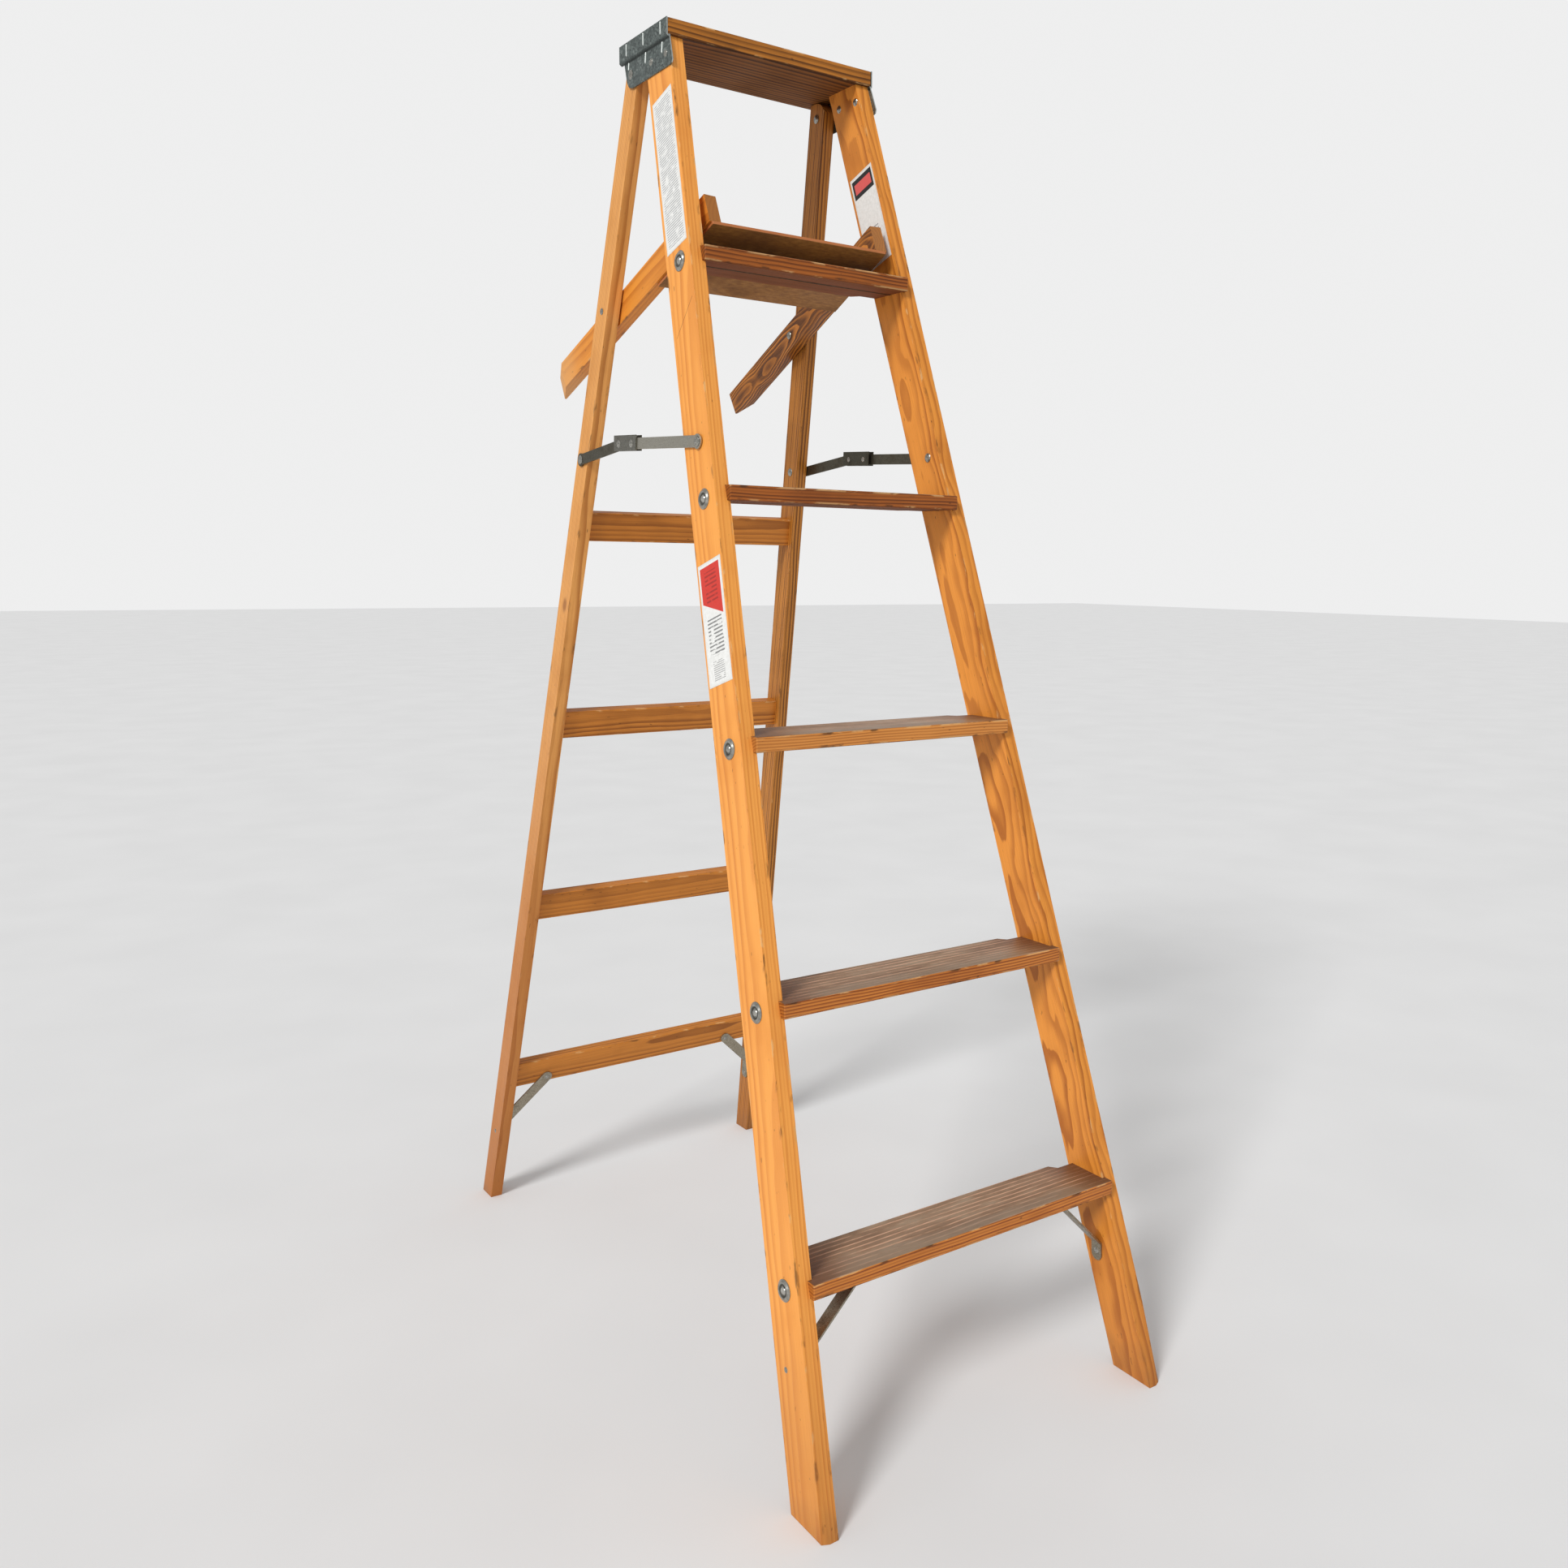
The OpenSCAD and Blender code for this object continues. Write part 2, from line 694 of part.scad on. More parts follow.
// Rivets of a lock plate: one grips the link, the other only fills the plate
module lock_rivets(x_plate, x_link, grip, other, out) {
    x_lo = min(x_plate, x_link);
    x_hi = max(x_plate + 1.8, x_link + link_t);
    x_rod(2.5, x_lo, x_hi, grip[0], grip[1]);
    x_rod(2.5, x_plate, x_plate + 1.8, other[0], other[1]);
    for (p = [grip, other]) if (out) head_at(x_plate + 1.8, p[0], p[1], 5, 1.8);
        else head_in_at(x_plate, p[0], p[1], 3.6, 1.4);
}

module lock_rivets_outer() {
    color(zinc) in_row_frame()
        lock_rivets(front_link_x + link_t, front_link_x, lock_front, lock_rear, true);
}
module lock_rivets_inner() {
    color(zinc) in_row_frame()
        lock_rivets(rear_link_x - 1.8, rear_link_x, lock_rear, lock_front, false);
}

module spreader_front_link_right() { spreader_front_link(); }
module spreader_front_link_left() { left_side() spreader_front_link(); }
module spreader_rear_link_right() { spreader_rear_link(); }
module spreader_rear_link_left() { left_side() spreader_rear_link(); }
module lock_plate_outer_right() { lock_plate_outer(); }
module lock_plate_outer_left() { left_side() lock_plate_outer(); }
module lock_plate_inner_right() { lock_plate_inner(); }
module lock_plate_inner_left() { left_side() lock_plate_inner(); }
module lock_rivets_outer_right() { lock_rivets_outer(); }
module lock_rivets_outer_left() { left_side() lock_rivets_outer(); }
module lock_rivets_inner_right() { lock_rivets_inner(); }
module lock_rivets_inner_left() { left_side() lock_rivets_inner(); }

// ---------- labels ----------

// Plain label on a front rail: z_top is the height of its upper front corner
module label(z_top, long, wide, x) {
    edge = (front_rail_w - wide) / 2;
    color(paper) in_row_frame() front_frame() translate([x, 0, 0]) along_x(label_t)
        translate([rail_y(z_top), up_front(z_top)]) rotate(-front_tilt)
            translate([edge, -long]) square([wide, long]);
}
module label_upper_left() { left_side() label(1627, 205, 50, 0); }
module label_middle_left() { left_side() label(1050, 151, 54, 0); }
module label_inner_right() { label(1583, 132, 52, -front_rail_t - label_t); }

module step_1() { step(1); }
module step_2() { step(2); }
module step_3() { step(3); }
module step_4() { step(4); }
module step_5() { step(5); }
module truss_rod_1() { truss_rod(1); }
module truss_rod_2() { truss_rod(2); }
module truss_rod_3() { truss_rod(3); }
module truss_rod_4() { truss_rod(4); }
module truss_rod_5() { truss_rod(5); }
module rear_rung_1() { rear_rung(1); }
module rear_rung_2() { rear_rung(2); }
module rear_rung_3() { rear_rung(3); }
module rear_rung_4() { rear_rung(4); }

top_board();
top_bracket_left();
top_bracket_right();
bracket_rivets();
fold_rivets();
front_rail_left();
front_rail_right();
step_1();
step_2();
step_3();
step_4();
step_5();
truss_rod_1();
truss_rod_2();
truss_rod_3();
truss_rod_4();
truss_rod_5();
rod_washers();
step_brace_left();
step_brace_right();
step_brace_screws();
spreader_front_rivets();
label_upper_left();
label_middle_left();
label_inner_right();
rear_rail_left();
rear_rail_right();
rear_rung_1();
rear_rung_2();
rear_rung_3();
rear_rung_4();
rear_brace_left();
rear_brace_right();
rear_brace_screws();
spreader_rear_rivets();
shelf_rivets();
shelf_arm_left();
shelf_arm_right();
shelf_panel();
spreader_front_link_left();
lock_plate_outer_left();
lock_rivets_outer_left();
spreader_rear_link_left();
lock_plate_inner_left();
lock_rivets_inner_left();
spreader_front_link_right();
lock_plate_outer_right();
lock_rivets_outer_right();
spreader_rear_link_right();
lock_plate_inner_right();
lock_rivets_inner_right();
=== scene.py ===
"""Looks of a wooden folding stepladder: varnished softwood, galvanised and plated steel, paper labels."""
import math

import bpy
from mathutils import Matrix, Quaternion, Vector


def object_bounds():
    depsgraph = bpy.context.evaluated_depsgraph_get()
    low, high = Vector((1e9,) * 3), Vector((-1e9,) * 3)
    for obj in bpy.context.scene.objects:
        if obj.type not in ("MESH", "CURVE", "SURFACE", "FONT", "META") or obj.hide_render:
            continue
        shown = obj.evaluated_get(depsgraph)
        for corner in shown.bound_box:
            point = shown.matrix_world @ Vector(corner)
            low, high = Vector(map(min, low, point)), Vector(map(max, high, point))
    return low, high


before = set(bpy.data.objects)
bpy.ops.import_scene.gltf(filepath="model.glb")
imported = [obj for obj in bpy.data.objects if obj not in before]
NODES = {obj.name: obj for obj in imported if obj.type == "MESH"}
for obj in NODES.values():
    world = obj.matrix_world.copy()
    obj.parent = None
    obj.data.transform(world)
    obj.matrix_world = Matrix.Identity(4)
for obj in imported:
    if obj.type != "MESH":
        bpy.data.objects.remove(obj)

CAD_BOX = [list(corner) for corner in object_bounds()]
STEPS = range(1, 6)
RUNGS = range(1, 5)
SIDES = ("left", "right")


# ---------- colours, from 0-255 display values ----------

def srgb(r, g, b):
    """Linear colour from 0-255 display values."""
    def lin(c):
        c /= 255
        return c / 12.92 if c <= 0.04045 else ((c + 0.055) / 1.055) ** 2.4
    return (lin(r), lin(g), lin(b), 1)


# ---------- node trees ----------

# colour sockets of a Mix node
MIX_A, MIX_B, MIX_OUT = 6, 7, 2


class Tree:
    """Short calls for building one material's nodes."""

    def __init__(self, name):
        self.mat = bpy.data.materials.new(name)
        self.mat.use_nodes = True
        self.nt = self.mat.node_tree
        self.nt.nodes.clear()
        out = self.add("ShaderNodeOutputMaterial")
        self.bsdf = self.add("ShaderNodeBsdfPrincipled")
        self.nt.links.new(self.bsdf.outputs[0], out.inputs[0])
        coords = self.add("ShaderNodeTexCoord")
        self.place = coords.outputs["Object"]
        self.facing = coords.outputs["Normal"]

    def add(self, kind):
        return self.nt.nodes.new(kind)

    def put(self, socket, value):
        """Links value to socket if it is a socket, or sets it."""
        if isinstance(value, bpy.types.NodeSocket):
            self.nt.links.new(value, socket)
        else:
            socket.default_value = value

    def math(self, op, a, b=0.0, c=0.0):
        node = self.add("ShaderNodeMath")
        node.operation = op
        for socket, value in zip(node.inputs, (a, b, c)):
            self.put(socket, value)
        return node.outputs[0]

    def length(self, a, b):
        """Length of the vector (a, b)."""
        return self.math("SQRT", self.math("MULTIPLY_ADD", a, a, self.math("MULTIPLY", b, b)))

    def dot(self, vector, axis):
        node = self.add("ShaderNodeVectorMath")
        node.operation = "DOT_PRODUCT"
        self.put(node.inputs[0], vector)
        self.put(node.inputs[1], tuple(axis))
        return node.outputs["Value"]

    def join(self, x, y, z):
        node = self.add("ShaderNodeCombineXYZ")
        for socket, value in zip(node.inputs, (x, y, z)):
            self.put(socket, value)
        return node.outputs[0]

    def stretch(self, u, v, w, along, across, offset=0.0):
        """Place in a texture: u scaled by along and moved by offset, v and w scaled by across."""
        return self.join(self.math("MULTIPLY_ADD", u, along, offset),
                         self.math("MULTIPLY", v, across), self.math("MULTIPLY", w, across))

    def noise(self, vector, scale=1.0, detail=2.0, rough=0.5):
        node = self.add("ShaderNodeTexNoise")
        self.put(node.inputs["Vector"], vector)
        node.inputs["Scale"].default_value = scale
        node.inputs["Detail"].default_value = detail
        node.inputs["Roughness"].default_value = rough
        return node.outputs["Fac"]

    def cells(self, vector, scale):
        node = self.add("ShaderNodeTexVoronoi")
        self.put(node.inputs["Vector"], vector)
        node.inputs["Scale"].default_value = scale
        return node.outputs["Color"]

    def span(self, value, low, high, to_low=0.0, to_high=1.0):
        """Smooth step of value from low..high to to_low..to_high."""
        node = self.add("ShaderNodeMapRange")
        node.interpolation_type = "SMOOTHSTEP"
        for socket, v in zip(node.inputs, (value, low, high, to_low, to_high)):
            self.put(socket, v)
        return node.outputs[0]

    def mix(self, amount, a, b):
        """Colour a where amount is 0 and b where it is 1."""
        node = self.add("ShaderNodeMix")
        node.data_type = "RGBA"
        self.put(node.inputs["Factor"], amount)
        self.put(node.inputs[MIX_A], a)
        self.put(node.inputs[MIX_B], b)
        return node.outputs[MIX_OUT]

    def ramp(self, amount, stops):
        """Colour from a list of (position, colour) stops."""
        node = self.add("ShaderNodeValToRGB")
        self.put(node.inputs[0], amount)
        marks = node.color_ramp.elements
        while len(marks) < len(stops):
            marks.new(0.5)
        for mark, (at, colour) in zip(marks, stops):
            mark.position = at
            mark.color = colour
        return node.outputs[0]

    def bump(self, height, distance, strength=1.0):
        node = self.add("ShaderNodeBump")
        node.inputs["Distance"].default_value = distance
        node.inputs["Strength"].default_value = strength
        self.put(node.inputs["Height"], height)
        return node.outputs[0]

    def finish(self, colour, rough, bump=None, **fixed):
        """Sets the surface; fixed holds other inputs by name, with _ for a space."""
        self.put(self.bsdf.inputs["Base Color"], colour)
        self.put(self.bsdf.inputs["Roughness"], rough)
        if bump:
            self.put(self.bsdf.inputs["Normal"], bump)
        for name, value in fixed.items():
            self.bsdf.inputs[name.replace("_", " ")].default_value = value
        return self.mat


# ---------- boards ----------

class Board:
    """A board's own axes: u along its length, v across its width, w through its thickness."""

    SAME_WAY = 0.999
    CROSSWISE = 0.3

    def __init__(self, node):
        mesh = NODES[node].data
        sums = []
        for face in mesh.polygons:
            for entry in sums:
                if abs(entry[0].dot(face.normal)) > self.SAME_WAY:
                    entry[1] += face.area
                    break
            else:
                sums.append([face.normal.copy(), face.area])
        sums.sort(key=lambda entry: -entry[1])
        self.w = sums[0][0]
        side = next(n for n, _ in sums if abs(n.dot(self.w)) < self.CROSSWISE)
        self.v = (side - self.w * side.dot(self.w)).normalized()
        self.u = self.v.cross(self.w)
        points = [vert.co for vert in mesh.vertices]
        middle = sum(points, Vector()) / len(points)
        # u points up or to +X, v to the front, w up or away from the ladder's middle
        self.u = self.aim(self.u, Vector((0.4, 0, 1)))
        self.v = self.aim(self.v, Vector((0, -1, 0.1)))
        self.w = self.aim(self.w, Vector((middle.x * 3, 0, 1)))
        lows = [min(p.dot(a) for p in points) for a in (self.u, self.v, self.w)]
        highs = [max(p.dot(a) for p in points) for a in (self.u, self.v, self.w)]
        self.mid = [(lo + hi) / 2 for lo, hi in zip(lows, highs)]
        self.half = [(hi - lo) / 2 for lo, hi in zip(lows, highs)]

    @staticmethod
    def aim(axis, towards):
        return axis if axis.dot(towards) >= 0 else -axis

    def coords(self, tree):
        """Distances along u, v and w from the board's middle, as sockets."""
        axes = (self.u, self.v, self.w)
        return [tree.math("SUBTRACT", tree.dot(tree.place, a), m) for a, m in zip(axes, self.mid)]


# the fine waves in the rings, as a share of the slow ones
FINE_SHARE = 0.16
# added to every ring's number, to keep it above zero
RING_BASE = 50.0


def grain(tree, u, v, w, seed, pith, spacing, slope, wander, wave):
    """Growth rings round a pith line beside the board.

    Returns the place within each ring, 0..1, each ring's strength, and the board's shifted place."""
    shifted = tree.join(tree.math("ADD", u, seed), v, w)
    slow = tree.noise(tree.stretch(u, v, w, wave, 14.0, seed * 7.3), 1.0, 2.0)
    fine = tree.noise(tree.stretch(u, v, w, 14.0, 60.0, seed * 3.1), 1.0, 2.0)
    far = tree.length(tree.math("SUBTRACT", v, pith[0]), tree.math("SUBTRACT", w, pith[1]))
    far = tree.math("MULTIPLY_ADD", u, slope, far)
    far = tree.math("MULTIPLY_ADD", tree.math("SUBTRACT", slow, 0.5), wander, far)
    far = tree.math("MULTIPLY_ADD", tree.math("SUBTRACT", fine, 0.5), wander * FINE_SHARE, far)
    number = tree.math("ADD", tree.math("DIVIDE", far, spacing), RING_BASE + seed)
    phase = tree.math("FRACT", number)
    which = tree.math("FLOOR", number)
    strength = tree.noise(tree.join(which, seed, 0.0), 0.73, 0.0)
    return phase, strength, shifted


class Tone:
    """Colours of one kind of board: early wood, late wood, end grain and a dark underside, which is
    painted shade.
    """

    # the same on every board: wood where the varnish has gone, and dirt
    bare = srgb(224, 178, 120)
    grime = srgb(58, 38, 22)

    def __init__(self, early, late, end=(96, 60, 30), end_strength=0.4, under=None):
        self.early, self.late = srgb(*early), srgb(*late)
        self.end, self.end_strength = srgb(*end), end_strength
        self.under = srgb(*under) if under else None


# roughness of sound varnish
VARNISH = 0.42


def wood(node, tone, seed, pith, spacing, slope=0.008, wander=0.012, wear=0.4, dust=0.0,
         contrast=0.8, wave=3.0, extra=None):
    """Varnished softwood with rings that run through every face, worn arrises and grime.

    Lengths are in metres. extra(tree, board, u, v, colour, blotch) adds one board's own marks."""
    board = Board(node)
    tree = Tree("wood_" + node)
    u, v, w = board.coords(tree)
    phase, strength, shifted = grain(tree, u, v, w, seed, pith, spacing, slope, wander, wave)
    # early wood fades slowly into a dark late band, which ends sharply
    line = tree.math("MULTIPLY", tree.span(phase, 0.25, 0.86), tree.span(phase, 1.0, 0.93))
    line = tree.math("MULTIPLY", line, tree.span(strength, 0.25, 0.65, 0.35, 1.0))
    colour = tree.mix(tree.math("MULTIPLY", line, contrast), tone.early, tone.late)
    # long fibres and slow blotches in the varnish
    fibre = tree.noise(tree.stretch(u, v, w, 12.0, 900.0), 1.0, 3.0, 0.6)
    colour = tree.mix(tree.span(fibre, 0.35, 0.75, 0.0, 0.30), colour, tone.late)
    blotch = tree.noise(shifted, 9.0, 3.0, 0.55)
    colour = tree.mix(tree.span(blotch, 0.45, 0.75, 0.0, 0.35), colour, tone.late)
    pale = tree.noise(shifted, 5.5, 2.0, 0.5)
    colour = tree.mix(tree.span(pale, 0.5, 0.8, 0.0, 0.3), colour, tone.early)
    # wear along the arrises
    near = tree.math("MAXIMUM", tree.math("SUBTRACT", board.half[1], tree.math("ABSOLUTE", v)),
                     tree.math("SUBTRACT", board.half[2], tree.math("ABSOLUTE", w)))
    chip = tree.noise(tree.stretch(u, v, w, 30.0, 110.0, seed * 1.7), 1.0, 3.0, 0.6)
    edge = tree.span(near, 0.0035, 0.0005)
    worn = tree.math("MULTIPLY", edge, tree.span(chip, 0.66 - 0.16 * wear, 0.76 - 0.16 * wear))
    soil = tree.math("MULTIPLY", tree.span(near, 0.006, 0.0005), tree.span(chip, 0.44, 0.30))
    colour = tree.mix(tree.math("MULTIPLY", soil, 0.45 + 0.4 * wear), colour, tone.grime)
    colour = tree.mix(tree.math("MULTIPLY", worn, 0.75), colour, tone.bare)
    # end grain
    ends = tree.span(tree.math("ABSOLUTE", tree.dot(tree.facing, board.u)), 0.7, 0.9)
    colour = tree.mix(tree.math("MULTIPLY", ends, tone.end_strength), colour, tone.end)
    # bare underside, darkened with painted shade: faces turned down take the dark under colour
    if tone.under:
        below = tree.span(tree.dot(tree.facing, -board.w), 0.5, 0.8)
        shade = tree.math("MULTIPLY_ADD", line, 0.3, 0.55)
        colour = tree.mix(tree.math("MULTIPLY", below, shade), colour, tone.under)
    # specks
    speck = tree.noise(tree.join(tree.math("MULTIPLY", u, 90.0), tree.math("MULTIPLY", v, 260.0),
                                 tree.math("MULTIPLY_ADD", w, 260.0, seed)), 1.0, 1.0)
    colour = tree.mix(tree.span(speck, 0.74, 0.80, 0.0, 0.55), colour, tone.grime)
    if extra:
        colour = extra(tree, board, u, v, colour, blotch)
    if dust:
        colour, line = tread(tree, board, u, v, colour, line, seed, dust)
    rough = tree.math("ADD", tree.span(blotch, 0.3, 0.8, VARNISH - 0.06, VARNISH + 0.1),
                      tree.math("MULTIPLY", worn, 0.25))
    if tone.under:
        rough = tree.math("MULTIPLY_ADD", below, 0.35, rough)
    height = tree.math("ADD", tree.math("MULTIPLY", line, 0.5), tree.math("MULTIPLY", fibre, 0.4))
    height = tree.math("MULTIPLY_ADD", worn, -1.6, height)
    return tree.finish(colour, rough, tree.bump(height, 0.00035, 0.7), Specular_IOR_Level=0.28)


# distance between the ridges on a tread, and how far they wander
RIDGE_PITCH = 0.0084
RIDGE_WANDER = 0.016


def tread(tree, board, u, v, colour, line, seed, dust):
    """Trodden, dusty upper face: fine ridges along the step, dark stain towards the ends.

    Returns the colour and the height of the ridges and rings."""
    up = tree.span(tree.dot(tree.facing, board.w), 0.6, 0.85)
    drift = tree.noise(tree.stretch(u, v, 0.0, 3.0, 12.0, seed), 1.0, 2.0)
    across = tree.math("DIVIDE", tree.math("MULTIPLY_ADD", drift, RIDGE_WANDER, v), RIDGE_PITCH)
    row = tree.math("FLOOR", across)
    broken = tree.noise(tree.stretch(u, row, 0.0, 11.0, 5.3, seed * 2.0), 1.0, 4.0, 0.65)
    ridge = tree.math("MULTIPLY", within(tree, tree.math("FRACT", across), 0.36, 0.56, 0.10),
                      tree.span(broken, 0.34, 0.54))
    dirt = tree.noise(tree.stretch(u, v, 0.0, 9.0, 30.0, seed), 1.0, 4.0, 0.6)
    base = tree.ramp(dirt, [(0.3, srgb(116, 88, 64)), (0.5, srgb(150, 122, 96)),
                            (0.7, srgb(172, 152, 128))])
    base = tree.mix(ridge, base, srgb(222, 176, 146))
    # the ends keep their dark stain
    end = tree.span(tree.math("MULTIPLY_ADD", dirt, 0.10, tree.math("ABSOLUTE", u)),
                    board.half[0] - 0.035, board.half[0] + 0.045)
    base = tree.mix(tree.math("MULTIPLY", end, 0.85), base, srgb(92, 54, 30))
    # grey scuffing along the front, between the stained ends
    front = tree.span(tree.math("MULTIPLY_ADD", dirt, 0.03, v), 0.022, 0.045)
    front = tree.math("MULTIPLY", front, tree.span(end, 0.6, 0.1))
    base = tree.mix(tree.math("MULTIPLY", front, 0.7), base, srgb(142, 124, 104))
    shade = tree.noise(tree.stretch(u, v, 0.0, 60.0, 300.0, seed), 1.0, 3.0, 0.7)
    base = tree.mix(tree.span(shade, 0.45, 0.75, 0.0, 0.25), base, srgb(96, 72, 52))
    amount = tree.math("MULTIPLY", up, dust)
    return tree.mix(amount, colour, base), tree.math("ADD", line, tree.math("MULTIPLY", ridge, up))


def fibreboard(node, seed):
    """Dull sheet wood: short tangled fibres and a redder cut edge."""
    board = Board(node)
    tree = Tree("board_" + node)
    u, v, w = board.coords(tree)
    fibre_at = tree.join(tree.math("MULTIPLY_ADD", u, 90.0, seed), tree.math("MULTIPLY", v, 260.0), w)
    fibre = tree.noise(fibre_at, 1.0, 4.0, 0.65)
    cloud_at = tree.join(tree.math("MULTIPLY_ADD", u, 10.0, seed), tree.math("MULTIPLY", v, 16.0), w)
    cloud = tree.noise(cloud_at, 1.0, 3.0, 0.5)
    colour = tree.ramp(fibre, [(0.3, srgb(124, 80, 30)), (0.55, srgb(156, 106, 46)),
                               (0.8, srgb(182, 130, 64))])
    colour = tree.mix(tree.span(cloud, 0.45, 0.7, 0.0, 0.6), colour, srgb(100, 62, 26))
    side = tree.span(tree.math("ABSOLUTE", tree.dot(tree.facing, board.w)), 0.8, 0.5)
    colour = tree.mix(tree.math("MULTIPLY", side, 0.8), colour, srgb(190, 112, 62))
    return tree.finish(colour, tree.span(cloud, 0.3, 0.7, 0.55, 0.75), tree.bump(fibre, 0.0004, 0.6))


# ---------- metals and paper ----------

# band of painted shade on the brackets, below the top board's underside
CREASE_LOW, CREASE_HIGH, CREASE_SOFT = 0.0052, 0.0016, 0.0012


def galvanised(name):
    """Hot-dipped sheet: fine spangle, painted highlights on the ribs' flanks and the sheet's edges, and
    painted shade along the crease under the board.
    """
    tree = Tree(name)
    cell = tree.cells(tree.place, 420.0)
    tone = tree.dot(cell, (0.4, 0.3, 0.3))
    cloud = tree.noise(tree.place, 60.0, 4.0, 0.6)
    fleck = tree.noise(tree.place, 620.0, 2.0, 0.6)
    colour = tree.ramp(tone, [(0.2, srgb(80, 88, 86)), (0.55, srgb(112, 122, 119)),
                              (0.9, srgb(152, 160, 156))])
    colour = tree.mix(tree.span(cloud, 0.42, 0.7, 0.0, 0.45), colour, srgb(76, 82, 80))
    colour = tree.mix(tree.span(fleck, 0.6, 0.78, 0.0, 0.5), colour, srgb(182, 188, 184))
    board_low = min(vert.co.z for vert in NODES["top_board"].data.vertices)
    z = tree.dot(tree.place, (0, 0, 1))
    # painted shade in the crease under the top board
    crease = within(tree, z, board_low - CREASE_LOW, board_low - CREASE_HIGH, CREASE_SOFT)
    colour = tree.mix(tree.math("MULTIPLY", crease, 0.75), colour, srgb(40, 44, 42))
    # painted highlight: the ribs run up the sheet, so only their flanks and the sheet's edges face
    # forward or back, and those faces are lightened
    painted_rib_highlight = tree.span(tree.math("ABSOLUTE", tree.dot(tree.facing, (0, 1, 0))), 0.2, 0.6)
    colour = tree.mix(tree.math("MULTIPLY", painted_rib_highlight, 0.75), colour, srgb(206, 210, 206))
    rough = tree.span(tone, 0.2, 0.9, 0.36, 0.58)
    return tree.finish(colour, rough, tree.bump(cloud, 0.0003, 0.4), Metallic=0.8)


def plated(name, bright, dark, rough=0.34, dirt=0.4, rust=0.0):
    """Plated steel: fine scratches, dull patches and a little brown in the worst ones."""
    tree = Tree(name)
    patch = tree.noise(tree.place, 70.0, 4.0, 0.6)
    fine = tree.noise(tree.place, 700.0, 3.0, 0.6)
    colour = tree.ramp(fine, [(0.3, srgb(*dark)), (0.7, srgb(*bright))])
    colour = tree.mix(tree.span(patch, 0.45, 0.72, 0.0, dirt), colour, srgb(*dark))
    if rust:
        colour = tree.mix(tree.span(patch, 0.62, 0.78, 0.0, rust), colour, srgb(104, 66, 40))
    finish = tree.span(patch, 0.35, 0.75, rough - 0.06, rough + 0.2)
    return tree.finish(colour, finish, tree.bump(fine, 0.00008, 0.4), Metallic=0.9)


def middle(node, axis):
    """Middle of a part's box along one axis."""
    values = [vert.co[axis] for vert in NODES[node].data.vertices]
    return (min(values) + max(values)) / 2


# ring of painted shade round each rod end: its inner and outer radius
GROOVE_IN, GROOVE_OUT = 0.0050, 0.0076


def washer_steel():
    """Plated steel with painted shade in the groove between each washer's rim and the peened rod end."""
    tree = Tree("washer_steel")
    y, z = tree.dot(tree.place, (0, 1, 0)), tree.dot(tree.place, (0, 0, 1))
    near = 1.0
    for k in STEPS:
        dy = tree.math("SUBTRACT", y, middle(f"truss_rod_{k}", 1))
        dz = tree.math("SUBTRACT", z, middle(f"truss_rod_{k}", 2))
        near = tree.math("MINIMUM", tree.length(dy, dz), near)
    patch = tree.noise(tree.place, 160.0, 3.0, 0.6)
    colour = tree.ramp(patch, [(0.3, srgb(126, 125, 118)), (0.7, srgb(184, 182, 174))])
    # painted shade in the groove round the rod end
    groove = within(tree, near, GROOVE_IN, GROOVE_OUT, 0.0006)
    colour = tree.mix(tree.math("MULTIPLY", groove, 0.8), colour, srgb(62, 58, 50))
    return tree.finish(colour, tree.math("MULTIPLY_ADD", groove, 0.3, 0.26),
                       tree.bump(patch, 0.0001, 0.3), Metallic=0.85)


def truss_steel(node):
    """Bright peened ends on a rod that is dull, rusty and darkened with painted shade where it lies under
    the step.
    """
    tree = Tree("steel_" + node)
    reach = max(abs(vert.co.x) for vert in NODES[node].data.vertices)
    patch = tree.noise(tree.place, 120.0, 3.0, 0.6)
    # the rod under the step: rust brown, and darkened further as painted shade
    dull = tree.ramp(patch, [(0.3, srgb(70, 48, 30)), (0.7, srgb(96, 78, 60))])
    bright = tree.ramp(patch, [(0.3, srgb(150, 148, 142)), (0.7, srgb(196, 194, 186))])
    end = tree.span(tree.math("ABSOLUTE", tree.dot(tree.place, (1, 0, 0))),
                    reach - 0.014, reach - 0.010)
    return tree.finish(tree.mix(end, dull, bright), tree.math("MULTIPLY_ADD", end, -0.35, 0.6),
                       tree.bump(patch, 0.0001, 0.4), Metallic=0.8)


def printed(node, layout):
    """Matt paper with generic marks: bands, a block and broken grey lines."""
    board = Board(node)
    tree = Tree("paper_" + node)
    u, v, _ = board.coords(tree)
    soft = tree.noise(tree.place, 260.0, 3.0, 0.6)
    colour = tree.ramp(soft, [(0.3, srgb(226, 226, 222)), (0.7, srgb(243, 243, 240))])
    colour = layout(tree, board, u, v, colour)
    edge = tree.math("MINIMUM", tree.math("SUBTRACT", board.half[1], tree.math("ABSOLUTE", v)),
                     tree.math("SUBTRACT", board.half[0], tree.math("ABSOLUTE", u)))
    stain = tree.math("MULTIPLY", tree.span(edge, 0.004, 0.0), tree.span(soft, 0.35, 0.6))
    colour = tree.mix(tree.math("MULTIPLY", stain, 0.35), colour, srgb(170, 160, 140))
    return tree.finish(colour, tree.span(soft, 0.3, 0.7, 0.38, 0.5), tree.bump(soft, 0.00005, 0.3))


def within(tree, value, low, high, soft=0.0003):
    """1 between low and high and 0 outside, with soft edges."""
    return tree.math("MULTIPLY", tree.span(value, low - soft, low + soft),
                     tree.span(value, high + soft, high - soft))


def oblong(tree, u, v, bottom, top, side_low, side_high):
    """1 inside a rectangle of a label, 0 outside."""
    return tree.math("MULTIPLY", within(tree, u, bottom, top), within(tree, v, side_low, side_high))


# reach of a label's longest rule, as a share of the column's half width
LONGEST_RULE = 1.25


